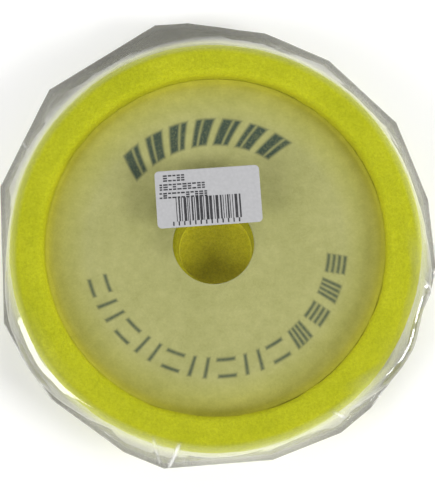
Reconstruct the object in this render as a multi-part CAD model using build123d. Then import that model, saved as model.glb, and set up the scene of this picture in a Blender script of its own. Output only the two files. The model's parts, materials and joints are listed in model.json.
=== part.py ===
from build123d import *
import os
from math import cos, radians

os.makedirs("parts", exist_ok=True)

# Driving dimensions, in mm and degrees. The origin is the middle of the wrapper's underside, and +Z is up,
# through the loop side of the pad, which lies with its working face down.

# Foam body
PAD_RADIUS = 75.0
PAD_HEIGHT = 30.0
RIM_ROUND = 5.0
WORKING_EDGE_ROUND = 4.0

# Recess for the machine's backing plate, open at the top
RECESS_RADIUS = 62.3
RECESS_DEPTH = 8.0
RECESS_LIP_ROUND = 2.5

# Blind hole in the middle, which centres the pad on the backing plate's hub
HOLE_RADIUS = 13.8
HOLE_DEPTH = 14.0

# Loop fabric on the recess floor, and the hot melt under it. Its own hole is cut a little off centre.
LOOP_RADIUS = 61.3
LOOP_THICKNESS = 1.8
LOOP_HOLE_RADIUS = 15.0
LOOP_HOLE_CENTRE = (-0.7, 0.9)
BOND_THICKNESS = 0.3

# Clear wrapper: two sheets that meet in a flat margin half way up the pad. The film is thicker here than the
# real one, and a small gap keeps it clear of the foam and keeps its two sheets apart.
FILM_THICKNESS = 0.3
FILM_GAP = 0.3
FILM_SIDES = 16
FILM_MARGIN_RADIUS = 83.0
FILM_FOOT_RADIUS = 81.0
FILM_SHOULDER_RADIUS = 74.6
FILM_SHOULDER_ROUND = 5.3

# Paper label on the front film, to one side of the middle and a little turned
LABEL_WIDTH = 38.0
LABEL_HEIGHT = 21.0
LABEL_THICKNESS = 0.15
LABEL_CORNER = 1.6
LABEL_CENTRE = (-2.5, 16.7)
LABEL_TURN = 4.0

# Heights that follow from the sizes above
FOAM_BASE = FILM_THICKNESS + FILM_GAP
FOAM_TOP = FOAM_BASE + PAD_HEIGHT
LOOP_TOP = FOAM_TOP - RECESS_DEPTH
BOND_TOP = LOOP_TOP - LOOP_THICKNESS
RECESS_FLOOR = BOND_TOP - BOND_THICKNESS
HOLE_FLOOR = LOOP_TOP - HOLE_DEPTH
FILM_INNER_TOP = FOAM_TOP + FILM_GAP
FILM_TOP = FILM_INNER_TOP + FILM_THICKNESS
SEAM_HEIGHT = FOAM_BASE + PAD_HEIGHT / 2
FRONT_SEAM = SEAM_HEIGHT + FILM_GAP / 2
BACK_SEAM = SEAM_HEIGHT - FILM_GAP / 2


def turned(corners, rounds):
    """A solid turned about Z from the (radius, height) corners of its half section, each with its round."""
    section = make_face(Plane.XZ * FilletPolyline(*corners, radius=rounds, close=True))
    return revolve(section, Axis.Z)


def foam_pad():
    """Foam disc with a soft rim, a working edge below, a wide recess on top and a blind hole in its floor."""
    corners = [
        (0, FOAM_BASE),
        (PAD_RADIUS, FOAM_BASE),
        (PAD_RADIUS, FOAM_TOP),
        (RECESS_RADIUS, FOAM_TOP),
        (RECESS_RADIUS, RECESS_FLOOR),
        (HOLE_RADIUS, RECESS_FLOOR),
        (HOLE_RADIUS, HOLE_FLOOR),
        (0, HOLE_FLOOR),
    ]
    return turned(corners, [0, WORKING_EDGE_ROUND, RIM_ROUND, RECESS_LIP_ROUND, 0, 0, 0, 0])


def holed_disc(bottom, thickness):
    """Flat disc that fits the recess floor, with the fabric's hole through it."""
    face = Circle(LOOP_RADIUS) - Pos(*LOOP_HOLE_CENTRE) * Circle(LOOP_HOLE_RADIUS)
    return Pos(0, 0, bottom) * extrude(face, thickness)


def film_plate(bottom):
    """Flat sheet of film with the wrapper's many-sided outline, one side square to each axis."""
    corner_radius = FILM_MARGIN_RADIUS / cos(radians(180 / FILM_SIDES))
    outline = Rot(0, 0, 180 / FILM_SIDES) * RegularPolygon(corner_radius, FILM_SIDES)
    return Pos(0, 0, bottom) * extrude(outline, FILM_THICKNESS)


def tent(seam, flat, growth):
    """Solid inside one sheet of film: flat over the pad, round at its shoulder, sloping out to the seam."""
    corners = [
        (0, seam),
        (FILM_FOOT_RADIUS + growth, seam),
        (FILM_SHOULDER_RADIUS + growth, flat),
        (0, flat),
    ]
    return turned(corners, [0, 0, FILM_SHOULDER_ROUND + growth, 0])


def film_front():
    """Film over the loop side, down and out from the rim to the upper half of the margin."""
    outer = tent(FRONT_SEAM, FILM_TOP, FILM_THICKNESS)
    return outer + film_plate(FRONT_SEAM) - tent(FRONT_SEAM, FILM_INNER_TOP, 0)


def film_back():
    """Film under the working face, up and out from its edge to the lower half of the margin."""
    outer = tent(BACK_SEAM, 0, FILM_THICKNESS)
    return outer + film_plate(BACK_SEAM - FILM_THICKNESS) - tent(BACK_SEAM, FILM_THICKNESS, 0)


def label():
    """Rectangle of label paper with rounded corners, on top of the front film."""
    place = Pos(*LABEL_CENTRE, FILM_TOP) * Rot(0, 0, LABEL_TURN)
    return place * extrude(RectangleRounded(LABEL_WIDTH, LABEL_HEIGHT, LABEL_CORNER), LABEL_THICKNESS)


PARTS = {
    "foam_pad": foam_pad(),
    "bond_layer": holed_disc(RECESS_FLOOR, BOND_THICKNESS),
    "loop_backing": holed_disc(BOND_TOP, LOOP_THICKNESS),
    "film_front": film_front(),
    "film_back": film_back(),
    "label": label(),
}

for name, shape in PARTS.items():
    export_step(shape, f"parts/{name}.step")
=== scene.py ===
import json

import bpy
import numpy as np
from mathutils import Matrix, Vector


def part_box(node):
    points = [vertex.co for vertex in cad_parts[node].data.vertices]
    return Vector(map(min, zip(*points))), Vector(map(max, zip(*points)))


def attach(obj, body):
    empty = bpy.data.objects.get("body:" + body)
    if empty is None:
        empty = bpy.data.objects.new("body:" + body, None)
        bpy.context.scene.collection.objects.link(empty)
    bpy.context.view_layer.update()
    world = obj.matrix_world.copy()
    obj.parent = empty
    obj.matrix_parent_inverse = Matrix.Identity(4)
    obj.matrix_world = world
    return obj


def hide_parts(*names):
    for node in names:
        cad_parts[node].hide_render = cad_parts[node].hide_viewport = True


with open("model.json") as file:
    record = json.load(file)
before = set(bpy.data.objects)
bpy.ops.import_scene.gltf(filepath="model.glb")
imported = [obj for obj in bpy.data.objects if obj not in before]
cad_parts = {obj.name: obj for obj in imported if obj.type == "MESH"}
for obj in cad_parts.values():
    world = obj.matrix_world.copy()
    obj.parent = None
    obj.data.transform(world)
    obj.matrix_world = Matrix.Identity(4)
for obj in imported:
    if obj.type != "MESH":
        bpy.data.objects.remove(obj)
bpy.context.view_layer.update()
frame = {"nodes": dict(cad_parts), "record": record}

# Camera
# It looks down at the loop side, from eight degrees in front of straight above.

mm = 0.001
foam_low, foam_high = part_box("foam_pad")
camera_lean = np.radians(82)
camera_distance = 450 * mm
camera_aim = Vector((0.8 * mm, -1.1 * mm, foam_high.z - 5 * mm))
camera_back = Vector((0, -np.cos(camera_lean), np.sin(camera_lean)))
camera = bpy.data.objects.new("camera", bpy.data.cameras.new("camera"))
camera.data.lens = 89.8
camera.data.clip_start = 0.01
camera.location = camera_aim + camera_back * camera_distance
camera.rotation_mode = "QUATERNION"
camera.rotation_quaternion = (-camera_back).to_track_quat("-Z", "Y")
bpy.context.scene.collection.objects.link(camera)
bpy.context.scene.camera = camera

# Light and floor
# A pale table under an even white room with a dim ceiling, a soft lamp at each side and a smaller one behind.

bpy.context.scene.view_settings.view_transform = "Standard"
room = bpy.data.worlds.new("room")
room.use_nodes = True
room_tree = room.node_tree
room_direction = room_tree.nodes.new("ShaderNodeTexCoord").outputs["Generated"]
room_height = room_tree.nodes.new("ShaderNodeSeparateXYZ")
room_tree.links.new(room_direction, room_height.inputs["Vector"])
room_shade = room_tree.nodes.new("ShaderNodeValToRGB")
room_tree.links.new(room_height.outputs["Z"], room_shade.inputs["Fac"])
room_shade.color_ramp.elements[0].position = 0.65
room_shade.color_ramp.elements[0].color = (1, 1, 1, 1)
room_shade.color_ramp.elements[1].position = 0.9
room_shade.color_ramp.elements[1].color = (0.2, 0.2, 0.2, 1)
room_tree.links.new(room_shade.outputs["Color"], room_tree.nodes["Background"].inputs["Color"])
room_tree.nodes["Background"].inputs["Strength"].default_value = 0.46
bpy.context.scene.world = room


def soft_lamp(name, place, width, watts):
    """A square lamp at a place in metres, turned to the middle of the pad."""
    lamp = bpy.data.objects.new(name, bpy.data.lights.new(name, "AREA"))
    lamp.data.size = width
    lamp.data.energy = watts
    lamp.location = place
    lamp.rotation_mode = "QUATERNION"
    lamp.rotation_quaternion = (-Vector(place)).to_track_quat("-Z", "Y")
    lamp.visible_camera = False
    bpy.context.scene.collection.objects.link(lamp)
    return lamp


soft_lamp("right_lamp", (0.85, -0.30, 0.61), 0.40, 7.5)
soft_lamp("left_lamp", (-0.78, -0.43, 0.61), 0.56, 6.9)
back_lamp = soft_lamp("back_lamp", (0.08, 0.42, 0.40), 0.3, 1.05)
back_lamp.visible_glossy = False


def shader_node(tree, kind, **sockets):
    """Adds a shader node and sets its named sockets, with underscores for spaces: a node's output is linked to
    its socket and any other value is set on it."""
    made = tree.nodes.new("ShaderNode" + kind)
    for socket, value in sockets.items():
        if isinstance(value, bpy.types.NodeSocket):
            tree.links.new(value, made.inputs[socket.replace("_", " ")])
        else:
            made.inputs[socket.replace("_", " ")].default_value = value
    return made


def new_material(name):
    """An empty node material with its output node: (material, tree, output)."""
    made = bpy.data.materials.new(name)
    made.use_nodes = True
    made.node_tree.nodes.clear()
    return made, made.node_tree, made.node_tree.nodes.new("ShaderNodeOutputMaterial")


def colour_ramp(tree, factor, stops):
    """A colour ramp over a factor, from (position, colour) stops, and its colour output."""
    ramp = tree.nodes.new("ShaderNodeValToRGB")
    tree.links.new(factor, ramp.inputs["Fac"])
    ramp.color_ramp.elements[0].position, ramp.color_ramp.elements[0].color = stops[0]
    ramp.color_ramp.elements[1].position, ramp.color_ramp.elements[1].color = stops[-1]
    for position, colour in stops[1:-1]:
        ramp.color_ramp.elements.new(position).color = colour
    return ramp.outputs["Color"]


floor_size = 3.0
floor_mesh = bpy.data.meshes.new("table_top")
floor_corners = np.array([(-1, -1, 0), (1, -1, 0), (1, 1, 0), (-1, 1, 0)]) * floor_size / 2
floor_mesh.from_pydata(floor_corners.tolist(), [], [(0, 1, 2, 3)])
table_top = bpy.data.objects.new("table_top", floor_mesh)
bpy.context.scene.collection.objects.link(table_top)

table_paint, tree, output = new_material("table_paint")
place = tree.nodes.new("ShaderNodeTexCoord").outputs["Object"]
cloudy = shader_node(tree, "TexNoise", Vector=place, Scale=9.0, Detail=3.0).outputs["Fac"]
paint = colour_ramp(tree, cloudy, [(0.3, (0.95, 0.95, 0.94, 1)), (0.7, (0.97, 0.97, 0.965, 1))])
matt = shader_node(tree, "BsdfPrincipled", Base_Color=paint, Roughness=0.6, Emission_Color=(1, 1, 1, 1),
                   Emission_Strength=0.10)
tree.links.new(matt.outputs["BSDF"], output.inputs["Surface"])
floor_mesh.materials.append(table_paint)

# Foam body
# Open-cell polyurethane foam, cut to a disc with a soft rim, with a wide recess and a blind hole bored in its
# loop side. The cut cells leave a fine pitted surface all over.


def rounded_path(corners, rounds, steps):
    """Points along straight runs whose corners are replaced by arcs.

    An arc starts and ends radius * tan(half the turn) from its corner, and its points turn evenly about a
    centre on the corner's bisector. Each run and each arc is divided into equal steps, about as long as the
    run's step."""
    corners = np.array(corners, float)
    pieces = [corners[:1]]
    for before, corner, after, radius, step in zip(corners, corners[1:], corners[2:], rounds, steps):
        into = (corner - before) / np.linalg.norm(corner - before)
        out = (after - corner) / np.linalg.norm(after - corner)
        turn = np.arccos(np.clip(into @ out, -1, 1))
        first = corner - into * radius * np.tan(turn / 2)
        last = corner + out * radius * np.tan(turn / 2)
        run_start = pieces[-1][-1]
        share = np.linspace(0, 1, 2 + int(np.linalg.norm(first - run_start) / step))[1:, None]
        pieces.append(run_start + (first - run_start) * share)
        if radius > 0:
            bisector = (out - into) / np.linalg.norm(out - into)
            centre = corner + bisector * radius / np.cos(turn / 2)
            share = np.linspace(0, 1, 3 + int(radius * turn / step))[1:, None]
            start_share = np.sin((1 - share) * turn) / np.sin(turn)
            end_share = np.sin(share * turn) / np.sin(turn)
            pieces.append(centre + (first - centre) * start_share + (last - centre) * end_share)
    run_start = pieces[-1][-1]
    share = np.linspace(0, 1, 2 + int(np.linalg.norm(corners[-1] - run_start) / steps[-1]))[1:, None]
    pieces.append(run_start + (corners[-1] - run_start) * share)
    return np.concatenate(pieces)


def lumps(points, cell, seed):
    """Smooth random lumps from -1 to 1, about one cell apart: seeded random values at the corners of a cubic
    lattice, blended inside each cube with the smooth step 3t^2 - 2t^3 along each axis."""
    place = points / cell
    corner = np.floor(place).astype(int)
    share = place - corner
    share = share * share * (3 - 2 * share)
    flat = corner.reshape(-1, 3)
    corner = corner - flat.min(axis=0)
    values = np.random.default_rng(seed).uniform(-1, 1, corner.reshape(-1, 3).max(axis=0) + 2)
    total = np.zeros(points.shape[:-1])
    for step in np.ndindex(2, 2, 2):
        weight = np.prod(np.where(step, share, 1 - share), axis=-1)
        total += weight * values[tuple(np.moveaxis(corner + step, -1, 0))]
    return total


def pushed_out(grid, rise):
    """A grid that is closed round its columns, moved by rise along its normals: the cross product of the
    differences round the columns and along the rows."""
    along = np.gradient(grid, axis=0)
    around = np.roll(grid, -1, axis=1) - np.roll(grid, 1, axis=1)
    normal = np.cross(around, along)
    normal /= np.maximum(np.linalg.norm(normal, axis=-1, keepdims=True), 1e-12)
    return grid + normal * rise[..., None]


def surface_object(name, grid, first_pole=None, last_pole=None, ring=False):
    """A mesh object from a grid of points, closed round its columns. Rows run along the surface, so that round
    crossed with along points outwards. A pole closes an end with a fan, and ring joins the last row to the
    first."""
    rows, columns = grid.shape[:2]
    points = grid.reshape(-1, 3).tolist()
    row, column = np.meshgrid(np.arange(rows if ring else rows - 1), np.arange(columns), indexing="ij")
    after = (column + 1) % columns
    below = (row + 1) % rows
    quads = np.stack([row * columns + column, row * columns + after, below * columns + after,
                      below * columns + column], axis=-1)
    faces = quads.reshape(-1, 4).tolist()
    rim = np.arange(columns)
    next_rim = (rim + 1) % columns
    if first_pole is not None:
        pole = np.full(columns, len(points))
        points.append(list(first_pole))
        faces += np.stack([pole, next_rim, rim], axis=-1).tolist()
    if last_pole is not None:
        pole = np.full(columns, len(points))
        points.append(list(last_pole))
        last_row = (rows - 1) * columns
        faces += np.stack([last_row + rim, last_row + next_rim, pole], axis=-1).tolist()
    mesh = bpy.data.meshes.new(name)
    mesh.from_pydata(points, [], faces)
    mesh.polygons.foreach_set("use_smooth", np.ones(len(faces), bool))
    mesh.update()
    made = bpy.data.objects.new(name, mesh)
    bpy.context.scene.collection.objects.link(made)
    return made


def turned_grid(path, columns):
    """Rings about the pad's axis: one row for each (radius, height) of a path, one column for each angle."""
    angle = np.arange(columns) * 2 * np.pi / columns
    radius, height = path[:, :1], path[:, 1:]
    return np.stack([radius * np.cos(angle), radius * np.sin(angle), height + 0 * angle], axis=-1)


loop_low, loop_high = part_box("loop_backing")
foam_radius = foam_high.x
fabric_clearance = 1 * mm
recess_radius = loop_high.x + fabric_clearance
recess_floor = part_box("bond_layer")[0].z
bore_radius = frame["record"]["mounts"][0]["dims"]["r_mm"] * mm
bore_depth = 14 * mm
bore_floor = loop_high.z - bore_depth
pole_gap = 1 * mm
foam_columns = 600
foam_corners = [
    (pole_gap, foam_low.z),
    (foam_radius, foam_low.z),
    (foam_radius, foam_high.z),
    (recess_radius, foam_high.z),
    (recess_radius, recess_floor),
    (bore_radius, recess_floor),
    (bore_radius, bore_floor),
    (pole_gap, bore_floor),
]
foam_rounds = np.array([4, 5, 2.5, 0.6, 1.6, 0.8]) * mm
foam_steps = np.array([2.5, 0.75, 0.6, 0.6, 2, 0.8, 1.2]) * mm
foam_grid = turned_grid(rounded_path(foam_corners, foam_rounds, foam_steps), foam_columns)
pitting = 0.10 * mm * lumps(foam_grid, 1.7 * mm, 11) + 0.16 * mm * lumps(foam_grid, 5.5 * mm, 12)
wander = 0.25 * mm * lumps(foam_grid, 31 * mm, 13)
foam_grid = pushed_out(foam_grid, pitting + wander)
foam_grid[..., 2] = np.maximum(foam_grid[..., 2], foam_low.z)
foam = surface_object("foam", foam_grid, foam_grid[0].mean(axis=0), foam_grid[-1].mean(axis=0))


def vertex_value(piece, name, values, poles=0):
    """Stores one number for each vertex of a piece, for its material to read. The poles come after the grid."""
    layer = piece.data.attributes.new(name, "FLOAT", "POINT")
    flat = np.zeros(len(piece.data.vertices), np.float32)
    flat[: values.size] = values.ravel()
    flat[values.size:] = poles
    layer.data.foreach_set("value", flat)


# How deep in the cut a place lies, for painted shade and light: 0 outside, 0.35 on the recess wall, 0.5 beside
# the bore, 0.65 inside it and 1 on its floor.
foam_reach = np.linalg.norm(foam_grid[..., :2], axis=-1)
recess_lip = foam_rounds[2]
in_recess = (foam_reach < recess_radius + recess_lip) & (foam_grid[..., 2] > bore_floor - 1 * mm)
wall_depth = np.clip((foam_high.z - foam_grid[..., 2] - 0.6 * mm) / (1.6 * mm), 0, 1)
near_bore = np.clip((bore_radius + 2.4 * mm - foam_reach) / (1 * mm), 0, 1)
in_bore = np.clip((bore_radius + 0.8 * mm - foam_reach) / (0.6 * mm), 0, 1)
on_floor = near_bore * np.clip((bore_floor + 3 * mm - foam_grid[..., 2]) / (2 * mm), 0, 1)
painted_hollow_shading = 0.35 * wall_depth + 0.15 * near_bore + 0.15 * in_bore + 0.35 * on_floor
vertex_value(foam, "painted_hollow_shading", in_recess * painted_hollow_shading, (0, 1))

foam_finish, tree, output = new_material("foam_finish")
place = tree.nodes.new("ShaderNodeTexCoord").outputs["Object"]
cells = shader_node(tree, "TexVoronoi", Vector=place, Scale=1500.0)
cell_depth = cells.outputs["Distance"]
speck = shader_node(tree, "TexNoise", Vector=place, Scale=900.0, Detail=4.0, Roughness=0.7).outputs["Fac"]
patches = shader_node(tree, "TexNoise", Vector=place, Scale=55.0, Detail=5.0, Roughness=0.6).outputs["Fac"]
patch_colour = colour_ramp(tree, patches, [(0.3, (0.55, 0.58, 0.012, 1)), (0.7, (0.64, 0.66, 0.020, 1))])
# The pits are painted darker, as shade in the cells.
painted_pit_shade = colour_ramp(tree, cell_depth, [(0.15, (0.88, 0.88, 0.80, 1)), (0.6, (1, 1, 1, 1))])
speck_shade = colour_ramp(tree, speck, [(0.3, (0.86, 0.86, 0.8, 1)), (0.7, (1.08, 1.08, 1.3, 1))])


def multiplied(tree, first, second):
    """The product of two colours."""
    made = tree.nodes.new("ShaderNodeMix")
    made.data_type, made.blend_type = "RGBA", "MULTIPLY"
    made.inputs["Factor"].default_value = 1.0
    tree.links.new(first, made.inputs[6])
    tree.links.new(second, made.inputs[7])
    return made.outputs[2]


def attribute_value(tree, name):
    """The output that reads a piece's own vertex values."""
    made = tree.nodes.new("ShaderNodeAttribute")
    made.attribute_name = name
    return made.outputs["Fac"]


# Painted shade and light: the recess wall, the ledge beside the bore and the bore's wall are painted darker, as
# shade, and the bore's floor lighter, as painted light.
painted_hollow_shading_colour = colour_ramp(tree, attribute_value(tree, "painted_hollow_shading"), [
    (0, (1, 1, 1, 1)), (0.35, (0.93, 0.88, 0.6, 1)), (0.5, (0.78, 0.71, 0.6, 1)), (0.65, (0.66, 0.59, 0.66, 1)),
    (1, (1.5, 1.35, 3.0, 1))])
foam_colour = multiplied(tree, multiplied(tree, patch_colour, painted_pit_shade),
                         multiplied(tree, speck_shade, painted_hollow_shading_colour))
pit_bump = shader_node(tree, "Bump", Height=cell_depth, Strength=0.45, Distance=0.25 * mm)
speck_bump = shader_node(tree, "Bump", Height=speck, Strength=0.3, Distance=0.2 * mm,
                         Normal=pit_bump.outputs["Normal"])
open_cell = shader_node(tree, "BsdfPrincipled", Base_Color=foam_colour, Roughness=0.95,
                        Specular_IOR_Level=0.1, Subsurface_Weight=0.8, Subsurface_Radius=(1, 0.95, 0.2),
                        Subsurface_Scale=8 * mm, Normal=speck_bump.outputs["Normal"])
tree.links.new(open_cell.outputs["BSDF"], output.inputs["Surface"])
foam.data.materials.append(foam_finish)
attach(foam, "pad")
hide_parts("foam_pad")

# Bond layer
# A web of hot melt between the foam and the fabric. Only its cut edge shows, inside the fabric's hole.

bond = frame["nodes"]["bond_layer"]
bond_finish, tree, output = new_material("hot_melt")
place = tree.nodes.new("ShaderNodeTexCoord").outputs["Object"]
web = shader_node(tree, "TexNoise", Vector=place, Scale=700.0, Detail=2.0).outputs["Fac"]
melt_colour = colour_ramp(tree, web, [(0.35, (0.42, 0.44, 0.12, 1)), (0.65, (0.55, 0.56, 0.25, 1))])
melt = shader_node(tree, "BsdfPrincipled", Base_Color=melt_colour, Roughness=0.5)
tree.links.new(melt.outputs["BSDF"], output.inputs["Surface"])
bond.data.materials.clear()
bond.data.materials.append(bond_finish)

# Loop fabric
# A disc of brushed knit with a short nap, die-cut with a hole, and turned up a little where it meets the recess
# wall. Its maker's print is two arcs of plain marks, soaked into the nap.

loop_radius = loop_high.x + 1.1 * mm
loop_hole_radius = 15 * mm
loop_hole_centre = np.array([-0.7, 0.9]) * mm
loop_columns = 720
loop_top_rows = 118
angle = np.arange(loop_columns) * 2 * np.pi / loop_columns
circle = np.stack([np.cos(angle), np.sin(angle)], axis=-1)
hole_edge = loop_hole_centre + loop_hole_radius * circle
outer_edge = loop_radius * circle


def loop_row(share, height):
    """One row of the disc: share 0 is the hole's edge and 1 the outer edge, at one height."""
    flat = hole_edge + (outer_edge - hole_edge) * share
    return np.column_stack([flat, np.full(loop_columns, height)])


edge_round = 0.004  # a share of the way across
top_rows = [loop_row(share, loop_high.z) for share in np.linspace(1 - edge_round, edge_round, loop_top_rows)]
wall_heights = np.linspace(loop_high.z - 0.25 * mm, loop_low.z, 5)
inner_rows = [loop_row(0, height) for height in wall_heights]
bottom_rows = [loop_row(share, loop_low.z) for share in np.linspace(0.1, 0.9, 8)]
outer_rows = [loop_row(1, height) for height in wall_heights[::-1]]
loop_grid = np.array(top_rows + inner_rows + bottom_rows + outer_rows)
reach = np.linalg.norm(loop_grid[..., :2], axis=-1)
is_top = loop_grid[..., 2] > loop_high.z - 0.3 * mm
turn_up_start = 52 * mm
turn_up = np.clip((reach - turn_up_start) / (loop_radius - turn_up_start), 0, 1)
roll_up = np.clip(1 - (loop_radius - reach) / (1.6 * mm), 0, 1)
nap = 0.05 * mm * lumps(loop_grid, 1.3 * mm, 21) + 0.14 * mm * lumps(loop_grid, 13 * mm, 22)
loop_grid[..., 2] += np.where(is_top, 0.8 * mm * turn_up ** 2 + 1.2 * mm * roll_up ** 2 + nap, 0)
loop_fabric = surface_object("loop_fabric", loop_grid, ring=True)


def mark_cover(points, centre_radius, centre_angle, width, height, slant, soft):
    """How much of a plain slanted bar covers each point, from 0 to 1. The bar stands on a radius, width across
    and height along it, leaning by slant for each unit of height, and its edges fade over a soft width."""
    radius = np.linalg.norm(points[..., :2], axis=-1)
    turn = np.arctan2(points[..., 1], points[..., 0]) - np.radians(centre_angle)
    turn = (turn + np.pi) % (2 * np.pi) - np.pi
    up = radius - centre_radius
    across = -turn * centre_radius - up * slant
    inside = np.minimum(width / 2 - np.abs(across), height / 2 - np.abs(up))
    return np.clip(inside / soft + 0.5, 0, 1)


# Behind the hole seven pairs of bold bars, and in front of it thirteen groups of thin strokes.
ink_cover = np.zeros(loop_grid.shape[:2])
bar_radius, bar_height, bar_slant, bar_fade = 42.8 * mm, 10 * mm, 0.36, 1.2 * mm
for count in range(7):
    middle = 133.5 - 12.2 * count
    wide, narrow = (-1.9, 2.6) if count % 2 else (1.9, -2.6)
    bold = mark_cover(loop_grid, bar_radius, middle + wide, 3.6 * mm, bar_height, bar_slant, bar_fade)
    thin = mark_cover(loop_grid, bar_radius, middle + narrow, 2.2 * mm, bar_height, bar_slant, bar_fade)
    ink_cover = np.maximum(ink_cover, np.maximum(bold, thin))
stroke_radius, stroke_width, stroke_slant, stroke_fade = 44.8 * mm, 1.25 * mm, 0.12, 0.9 * mm
for count in range(13):
    middle = 199.3 + 12.67 * count
    for step in np.linspace(-1, 1, 4 if count > 8 else 2):
        if count % 2:
            stroke = mark_cover(loop_grid, stroke_radius, middle + 3.4 * step, stroke_width, 7.5 * mm,
                                stroke_slant, stroke_fade)
        else:
            stroke = mark_cover(loop_grid, stroke_radius + 3 * mm * step, middle, 6.8 * mm, stroke_width,
                                stroke_slant, stroke_fade)
        ink_cover = np.maximum(ink_cover, 0.9 * stroke)
hole_reach = np.linalg.norm(loop_grid[..., :2] - loop_hole_centre, axis=-1)
border_start = 47 * mm
vertex_value(loop_fabric, "ink", np.where(is_top, ink_cover, 0))
vertex_value(loop_fabric, "cut_edge", np.clip(1 - np.abs(hole_reach - loop_hole_radius) / (0.7 * mm), 0, 1))
vertex_value(loop_fabric, "border", np.clip((reach - border_start) / (loop_radius - border_start), 0, 1))


def mixed_towards(tree, share, colour, target):
    """A colour mixed towards a fixed target colour by a share."""
    made = shader_node(tree, "Mix", Factor=share)
    made.data_type = "RGBA"
    tree.links.new(colour, made.inputs[6])
    made.inputs[7].default_value = target
    return made.outputs[2]


def worked_out(tree, operation, first, second, clamped=False):
    """A Math node's result for an output and a second output or number."""
    made = tree.nodes.new("ShaderNodeMath")
    made.operation, made.use_clamp = operation, clamped
    tree.links.new(first, made.inputs[0])
    if isinstance(second, bpy.types.NodeSocket):
        tree.links.new(second, made.inputs[1])
    else:
        made.inputs[1].default_value = second
    return made.outputs[0]


loop_finish, tree, output = new_material("brushed_loop")
place = tree.nodes.new("ShaderNodeTexCoord").outputs["Object"]
fuzz = shader_node(tree, "TexNoise", Vector=place, Scale=1300.0, Detail=5.0, Roughness=0.75).outputs["Fac"]
tufts = shader_node(tree, "TexNoise", Vector=place, Scale=260.0, Detail=3.0).outputs["Fac"]
blotches = shader_node(tree, "TexNoise", Vector=place, Scale=45.0, Detail=3.0).outputs["Fac"]
cloth_colour = colour_ramp(tree, blotches, [(0.3, (0.45, 0.45, 0.175, 1)), (0.7, (0.51, 0.505, 0.21, 1))])
tuft_shade = colour_ramp(tree, tufts, [(0.3, (0.93, 0.93, 0.90, 1)), (0.7, (1.05, 1.05, 1.08, 1))])
fuzz_shade = colour_ramp(tree, fuzz, [(0.3, (0.90, 0.90, 0.88, 1)), (0.7, (1.08, 1.08, 1.1, 1))])
# Painted light towards the outer edge: the cloth is painted lighter where the rim shades it, and yellower, as
# light bounced off the foam wall.
painted_border_light = colour_ramp(tree, attribute_value(tree, "border"), [
    (0.0, (1, 1, 1, 1)), (0.5, (1.06, 1.05, 0.74, 1)), (0.78, (1.15, 1.11, 0.55, 1)),
    (0.9, (1.15, 1.09, 0.30, 1)), (1, (1.08, 1.03, 0.12, 1))])
plain_cloth = multiplied(tree, multiplied(tree, multiplied(tree, cloth_colour, tuft_shade), fuzz_shade),
                         painted_border_light)
fuzz_break = colour_ramp(tree, fuzz, [(0.25, (0.6, 0.6, 0.6, 1)), (0.5, (1, 1, 1, 1))])
ink_share = worked_out(tree, "MULTIPLY", attribute_value(tree, "ink"), fuzz_break)
printed_cloth = mixed_towards(tree, ink_share, plain_cloth, (0.055, 0.085, 0.06, 1))
edge_share = worked_out(tree, "MULTIPLY", attribute_value(tree, "cut_edge"), 0.3)
loop_colour = mixed_towards(tree, edge_share, printed_cloth, (0.62, 0.62, 0.36, 1))
fuzz_bump = shader_node(tree, "Bump", Height=fuzz, Strength=0.5, Distance=0.25 * mm)
tuft_bump = shader_node(tree, "Bump", Height=tufts, Strength=0.3, Distance=0.4 * mm,
                        Normal=fuzz_bump.outputs["Normal"])
brushed = shader_node(tree, "BsdfPrincipled", Base_Color=loop_colour, Roughness=0.95,
                      Specular_IOR_Level=0.15, Sheen_Weight=0.15, Sheen_Roughness=0.6,
                      Normal=tuft_bump.outputs["Normal"])
tree.links.new(brushed.outputs["BSDF"], output.inputs["Surface"])
loop_fabric.data.materials.append(loop_finish)
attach(loop_fabric, "pad")
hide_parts("loop_backing")

# Front film
# Clear film shrunk over the loop side. It is flat over the rim and the recess, and runs straight from the rim's
# shoulder to a many-cornered edge, where it is heat-sealed to the back film half way up the pad.

# The edge's corners: (degrees round the axis, millimetres from it).
film_corners = [
    (13, 81.8), (35, 83.5), (59, 84), (77, 85), (97, 87.5), (105, 89), (136, 87.5), (164, 84), (200, 83),
    (212, 82), (223, 82), (246, 82), (257, 83), (285, 80.5), (304, 82), (314, 82), (330, 82), (341, 80),
    (348, 81.5), (355, 82.3),
]
film_columns = 720
film_thickness = 0.08 * mm
seal_width = 2 * mm
seal_rows, skirt_rows, arc_rows, flat_rows = 4, 30, 10, 16
film_front_low, film_front_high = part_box("film_front")
film_angle = np.arange(film_columns) * 2 * np.pi / film_columns


def edge_radius(angle):
    """How far the film's edge is from the axis: where the ray at an angle crosses the straight line between the
    corners each side of it, by the ratio of two cross products with that line."""
    corner_angle, corner_radius = np.array(film_corners).T * [[np.pi / 180], [mm]]
    corners = np.column_stack([np.cos(corner_angle), np.sin(corner_angle)]) * corner_radius[:, None]
    after = np.searchsorted(corner_angle, angle) % len(film_corners)
    first = corners[after - 1]
    side = corners[after] - first
    ray_x, ray_y = np.cos(angle), np.sin(angle)
    return (first[:, 0] * side[:, 1] - first[:, 1] * side[:, 0]) / (ray_x * side[:, 1] - ray_y * side[:, 0])


def swell(angle, middle, half_width):
    """A smooth bump along the angle: cos squared within half_width degrees of the middle, and 0 outside."""
    away = (np.degrees(angle) - middle + 180) % 360 - 180
    return np.cos(np.clip(away / half_width, -1, 1) * np.pi / 2) ** 2


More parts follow.
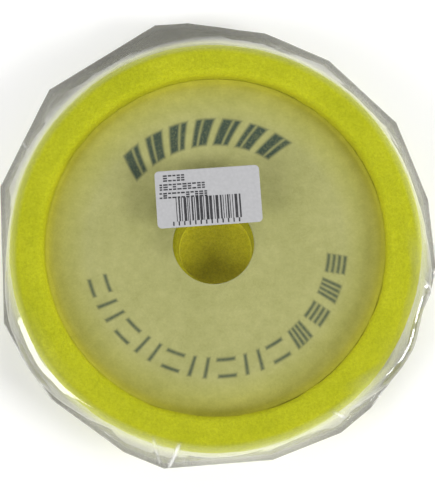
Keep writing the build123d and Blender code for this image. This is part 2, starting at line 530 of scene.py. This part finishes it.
# The film stands off the foam's side in a few wide swells, and its shoulder is rounder or tighter there.
film_edge = edge_radius(film_angle)
stand_off = (5.3 * swell(film_angle, 212, 38) + 3.2 * swell(film_angle, 338, 44)
             + 2.3 * swell(film_angle, 325, 18) + 0.9 * swell(film_angle, 352, 12)
             + 1.0 * swell(film_angle, 268, 18) + 0.8 * swell(film_angle, 110, 30)) * mm
shoulder_round = (5.5 + 3.0 * swell(film_angle, 212, 38) - 1.9 * swell(film_angle, 338, 40)) * mm
tight_radius = 75.7 * mm
shoulder_radius = tight_radius + stand_off - shoulder_round


def film_section(flat_height, seam_height):
    """Rows of (radius, height) for every column, from the seam to the flat sheet over the pad.

    The seal is level. The skirt is the straight tangent from its foot to the shoulder's arc, whose radius
    there points at acos(round / distance) from the line to the foot. The flat sheet runs in from the top of
    the arc."""
    up = 1 if flat_height > seam_height else -1
    centre_height = flat_height - up * shoulder_round
    foot = film_edge - seal_width
    to_foot = np.hypot(foot - shoulder_radius, seam_height - centre_height)
    foot_angle = np.arctan2(up * (seam_height - centre_height), foot - shoulder_radius)
    tangent_angle = foot_angle + np.arccos(shoulder_round / to_foot)
    share = np.linspace(0, 1, seal_rows, endpoint=False)[:, None]
    seal = np.stack([film_edge - seal_width * share, seam_height + 0 * film_edge * share], axis=-1)
    tangent = np.stack([shoulder_radius + shoulder_round * np.cos(tangent_angle),
                        centre_height + up * shoulder_round * np.sin(tangent_angle)], axis=-1)
    start = np.stack([foot, seam_height + 0 * foot], axis=-1)
    share = np.linspace(0, 1, skirt_rows, endpoint=False)[:, None, None]
    skirt = start + (tangent - start) * share
    share = np.linspace(0, 1, arc_rows, endpoint=False)[:, None]
    arc_angle = tangent_angle + (np.pi / 2 - tangent_angle) * share
    arc = np.stack([shoulder_radius + shoulder_round * np.cos(arc_angle),
                    centre_height + up * shoulder_round * np.sin(arc_angle)], axis=-1)
    share = np.linspace(0, 1, flat_rows, endpoint=False)[:, None]
    flat = np.stack([shoulder_radius * (1 - share), flat_height + 0 * film_edge * share], axis=-1)
    return np.concatenate([seal, skirt, arc, flat])


def film_grid(section):
    """The section's (radius, height) rows, each column turned to its own angle."""
    radius, height = section[..., 0], section[..., 1]
    return np.stack([radius * np.cos(film_angle), radius * np.sin(film_angle), height], axis=-1)


# Short sharp folds in the skirt: (degrees, share of fold_height, degrees of slant for each millimetre outwards,
# inner and outer radius in millimetres). Across a fold its height falls as exp(-(distance / fold_width)^2).
front_folds = [
    (254.4, 0.4, 0.35, 72, 84), (259, 0.9, -0.2, 72, 84), (262.5, 0.3, 0.4, 77, 84), (306.8, 0.8, 0.5, 73, 79),
    (348.5, 0.6, -0.6, 75, 84), (352.5, 0.4, 0.5, 77, 84), (153, 0.4, -0.4, 78, 86), (176, 0.3, 0.3, 79, 86),
]
fold_width = 0.6 * mm
fold_height = 0.8 * mm
front_flat = film_front_high.z - 0.12 * mm
front_section = film_section(front_flat, film_front_low.z)
front_grid = film_grid(front_section)
film_reach = front_section[..., 0]
skirt_share = np.clip((film_reach - 72 * mm) / (10 * mm), 0, 1)
crumple = 0.5 * mm * lumps(front_grid, 9 * mm, 31) + 0.14 * mm * lumps(front_grid, 3.5 * mm, 32)
tension = 0.04 * mm * lumps(front_grid, 22 * mm, 33)
folds = np.zeros(skirt_share.shape)
for fold_angle, sharpness, slant, inner, outer in front_folds:
    fold_turn = film_angle - np.radians(fold_angle + slant * (film_reach / mm - 78))
    across = np.sin(fold_turn) * film_reach
    same_side = np.cos(fold_turn) > 0
    starting = np.clip((film_reach - inner * mm) / (3 * mm), 0, 1)
    ending = np.clip((outer * mm - film_reach) / (3 * mm), 0, 1)
    folds += sharpness * same_side * starting * ending * np.exp(-(across / fold_width) ** 2)
front_grid = pushed_out(front_grid, crumple * skirt_share + fold_height * folds + tension)
film_front = surface_object("front_film", front_grid, last_pole=front_grid[-1].mean(axis=0))

film_finish, tree, output = new_material("clear_film")
place = tree.nodes.new("ShaderNodeTexCoord").outputs["Object"]
ripple = shader_node(tree, "TexNoise", Vector=place, Scale=90.0, Detail=3.0, Roughness=0.6).outputs["Fac"]
ripple_bump = shader_node(tree, "Bump", Height=ripple, Strength=0.25, Distance=0.5 * mm)
clear = shader_node(tree, "BsdfTransparent", Color=(0.97, 0.97, 0.96, 1))
# The haze's colour: painted shadow at 0, the film's grey haze at 0.3 and a painted yellow glow of the foam at
# 1.
haze_glow_and_shadow_colour = colour_ramp(tree, attribute_value(tree, "haze_glow_and_shadow"), [
    (0, (0.13, 0.13, 0.11, 1)), (0.3, (0.28, 0.275, 0.245, 1)), (1, (0.78, 0.81, 0.28, 1))])
# Painted glints: on the folds the haze is mixed towards white.
fold_glint_colour = mixed_towards(tree, attribute_value(tree, "painted_fold_glint"), haze_glow_and_shadow_colour, (0.95, 0.95, 0.93, 1))
milky = shader_node(tree, "BsdfDiffuse", Color=fold_glint_colour)
hazy = shader_node(tree, "MixShader", Fac=attribute_value(tree, "haze_and_painted_light_share"))
tree.links.new(clear.outputs["BSDF"], hazy.inputs[1])
tree.links.new(milky.outputs["BSDF"], hazy.inputs[2])
gloss = shader_node(tree, "BsdfGlossy", Color=(1, 1, 1, 1), Roughness=0.09,
                    Normal=ripple_bump.outputs["Normal"])
glance = shader_node(tree, "Fresnel", IOR=1.75, Normal=ripple_bump.outputs["Normal"])
backfacing = tree.nodes.new("ShaderNodeNewGeometry").outputs["Backfacing"]
dull_share = worked_out(tree, "ADD", backfacing, attribute_value(tree, "dulled"))
wet = shader_node(tree, "MixShader", Fac=worked_out(tree, "SUBTRACT", glance.outputs["Fac"], dull_share, True))
tree.links.new(hazy.outputs["Shader"], wet.inputs[1])
tree.links.new(gloss.outputs["BSDF"], wet.inputs[2])
tree.links.new(wet.outputs["Shader"], output.inputs["Surface"])
film_front.data.materials.append(film_finish)

# The skirt is hazy, more so where it gathers behind the pad; there its haze is painted darker as shadow and its
# gloss is dulled. Beside the foam the haze is a painted yellow glow of the foam, and on the short folds it is
# painted white as glints.
top_gather_and_shadow = swell(film_angle, 104, 60)
near_foam = np.clip(1 - np.abs(film_reach - 74.4 * mm) / (3 * mm), 0, 1)
gathered_and_shadowed = top_gather_and_shadow * np.clip((film_reach - 77 * mm) / (4 * mm), 0, 1)
painted_foam_glow = np.clip(2 * near_foam, 0, 1)
vertex_value(film_front, "haze_glow_and_shadow", 0.3 + 0.7 * painted_foam_glow - 0.10 * gathered_and_shadowed * (1 - painted_foam_glow))
vertex_value(film_front, "painted_fold_glint", np.clip(1.6 * folds, 0, 1))
vertex_value(film_front, "haze_and_painted_light_share", np.clip(
    (0.27 + 0.15 * top_gather_and_shadow) * skirt_share + 0.22 * near_foam ** 1.5 + 0.9 * folds, 0, 0.95))
vertex_value(film_front, "dulled", 0.4 * gathered_and_shadowed)


def thicken(piece, thickness):
    """Gives a sheet its thickness, inwards from its surface."""
    solid = piece.modifiers.new("thickness", "SOLIDIFY")
    solid.thickness = thickness
    solid.offset = -1


thicken(film_front, film_thickness)
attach(film_front, "front_wrap")
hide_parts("film_front")

# Back film
# The same film under the working face, flat on the table and up to the seam, where it is sealed to the front.

film_back_low, film_back_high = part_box("film_back")
back_flat = film_back_low.z + 0.02 * mm
back_section = film_section(back_flat, film_back_high.z)[::-1]
back_grid = film_grid(back_section)
skirt_share = np.clip((back_section[..., 0] - 76 * mm) / (6 * mm), 0, 1)
crumple = 0.4 * mm * lumps(back_grid, 9 * mm, 41) + 0.2 * mm * lumps(back_grid, 3.5 * mm, 42)
back_grid = pushed_out(back_grid, crumple * skirt_share)
back_grid[..., 2] = np.maximum(back_grid[..., 2], back_flat)
film_back = surface_object("back_film", back_grid, first_pole=(0, 0, back_flat))
film_back.data.materials.append(film_finish)
# Painted shadow: the haze darkens where the skirt gathers behind the pad.
vertex_value(film_back, "haze_glow_and_shadow", 0.3 - 0.10 * top_gather_and_shadow * skirt_share, 0.3)
vertex_value(film_back, "painted_fold_glint", 0 * skirt_share)
vertex_value(film_back, "haze_and_painted_light_share", (0.27 + 0.15 * top_gather_and_shadow) * skirt_share)
vertex_value(film_back, "dulled", 0.4 * top_gather_and_shadow * skirt_share)
thicken(film_back, film_thickness)
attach(film_back, "back_wrap")
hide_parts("film_back")

# Label
# White thermal label paper with rounded corners, stuck on the front film a little turned.

label_low, label_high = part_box("label")
label_centre = (np.array(label_low) + np.array(label_high)) / 2
label_turn = np.radians(4)
label_width, label_height, label_corner, label_thickness = 38 * mm, 21 * mm, 1.6 * mm, 0.15 * mm
label_outline = rounded_path(
    [(0, -label_height / 2), (label_width / 2, -label_height / 2), (label_width / 2, label_height / 2),
     (-label_width / 2, label_height / 2), (-label_width / 2, -label_height / 2), (0, -label_height / 2)],
    [label_corner] * 4, [0.8 * mm] * 5)[:-1]


def label_place(flat, height):
    """Turns points on the label's own flat rectangle to their place on the film, at a height above its face."""
    x, y = flat[..., 0], flat[..., 1]
    turned_x = x * np.cos(label_turn) - y * np.sin(label_turn)
    turned_y = x * np.sin(label_turn) + y * np.cos(label_turn)
    return np.stack([turned_x + label_centre[0], turned_y + label_centre[1], label_high.z + height + 0 * x],
                    axis=-1)


# From the middle of the face out to the rounded edge and back under: the outline's share and the drop below it.
face_shares = np.linspace(0.05, 0.995, 16)
spread = np.concatenate([face_shares, [1, 1], face_shares[::-1]])
drop = np.concatenate([0 * face_shares, [0.2, 0.8], 0 * face_shares + 1]) * -label_thickness
label_grid = label_place(spread[::-1, None, None] * label_outline, drop[::-1, None])
label_paper = surface_object("label_paper", label_grid, label_place(np.zeros(2), -label_thickness),
                             label_place(np.zeros(2), 0.0))

label_finish, tree, output = new_material("label_face")
place = tree.nodes.new("ShaderNodeTexCoord").outputs["Object"]
fibre = shader_node(tree, "TexNoise", Vector=place, Scale=900.0, Detail=3.0).outputs["Fac"]
paper_colour = colour_ramp(tree, fibre, [(0.3, (0.43, 0.43, 0.44, 1)), (0.7, (0.47, 0.47, 0.48, 1))])
paper_bump = shader_node(tree, "Bump", Height=fibre, Strength=0.1, Distance=0.05 * mm)
paper = shader_node(tree, "BsdfPrincipled", Base_Color=paper_colour, Roughness=0.45,
                    Specular_IOR_Level=0.3, Normal=paper_bump.outputs["Normal"])
tree.links.new(paper.outputs["BSDF"], output.inputs["Surface"])
label_paper.data.materials.append(label_finish)
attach(label_paper, "front_wrap")
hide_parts("label")

# Label print
# Three lines of plain dashes and a block of upright bars with ticks under it, in black thermal print.

print_chance = np.random.default_rng(5)
print_height = 0.02 * mm
dash_height = 0.56
dash_gap = 0.4
text_lines = [(8.9, -16.0, 8.6, 2.4), (5.6, -17.4, 17.6, 2.3), (2.4, -17.6, 18.2, 2.1)]
bars = []  # (middle across, middle up, width, height) on the label, in millimetres
for line_top, line_start, line_length, glyph_height in text_lines:
    start = line_start
    while start < line_start + line_length - 1:
        glyph = print_chance.uniform(0.9, 1.6)
        for level in (0.12, 0.5, 0.88)[:: print_chance.choice([1, 2])]:
            bars.append((start + glyph / 2, line_top - glyph_height * level, glyph, dash_height))
        start += glyph + dash_gap
bar_left, bars_right, bars_middle, bars_height = -11.9, 11.4, -4.0, 8.7
while bar_left < bars_right:
    bar = print_chance.choice([0.3, 0.3, 0.6, 1.0])
    bars.append((bar_left + bar / 2, bars_middle, bar, bars_height))
    bar_left += bar + print_chance.choice([0.3, 0.4, 0.6])
first_tick, tick_spacing, ticks_middle, tick_width, tick_height = -13.1, 1.98, -9.1, 0.5, 1.5
for count in range(13):
    bars.append((first_tick + tick_spacing * count, ticks_middle, tick_width, tick_height))

# Each mark is a thin box: four corners on the paper and four above them.
bars = np.array(bars) * mm
corner_sign = np.array([(-1, -1), (1, -1), (1, 1), (-1, 1)]) / 2
bar_corners = bars[:, None, :2] + corner_sign * bars[:, None, 2:]
lower = label_place(bar_corners, 0.0)
upper = label_place(bar_corners, print_height)
bar_points = np.concatenate([lower, upper], axis=1).reshape(-1, 3)
box_faces = np.array([(4, 5, 6, 7), (3, 2, 1, 0), (0, 1, 5, 4), (1, 2, 6, 5), (2, 3, 7, 6), (3, 0, 4, 7)])
bar_faces = (box_faces + 8 * np.arange(len(bars))[:, None, None]).reshape(-1, 4)
bar_mesh = bpy.data.meshes.new("label_print")
bar_mesh.from_pydata(bar_points.tolist(), [], bar_faces.tolist())
label_print = bpy.data.objects.new("label_print", bar_mesh)
bpy.context.scene.collection.objects.link(label_print)

print_finish, tree, output = new_material("thermal_black")
place = tree.nodes.new("ShaderNodeTexCoord").outputs["Object"]
fade = shader_node(tree, "TexNoise", Vector=place, Scale=500.0, Detail=3.0).outputs["Fac"]
print_colour = colour_ramp(tree, fade, [(0.3, (0.02, 0.02, 0.022, 1)), (0.7, (0.06, 0.06, 0.065, 1))])
black = shader_node(tree, "BsdfPrincipled", Base_Color=print_colour, Roughness=0.5)
tree.links.new(black.outputs["BSDF"], output.inputs["Surface"])
bar_mesh.materials.append(print_finish)
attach(label_print, "front_wrap")
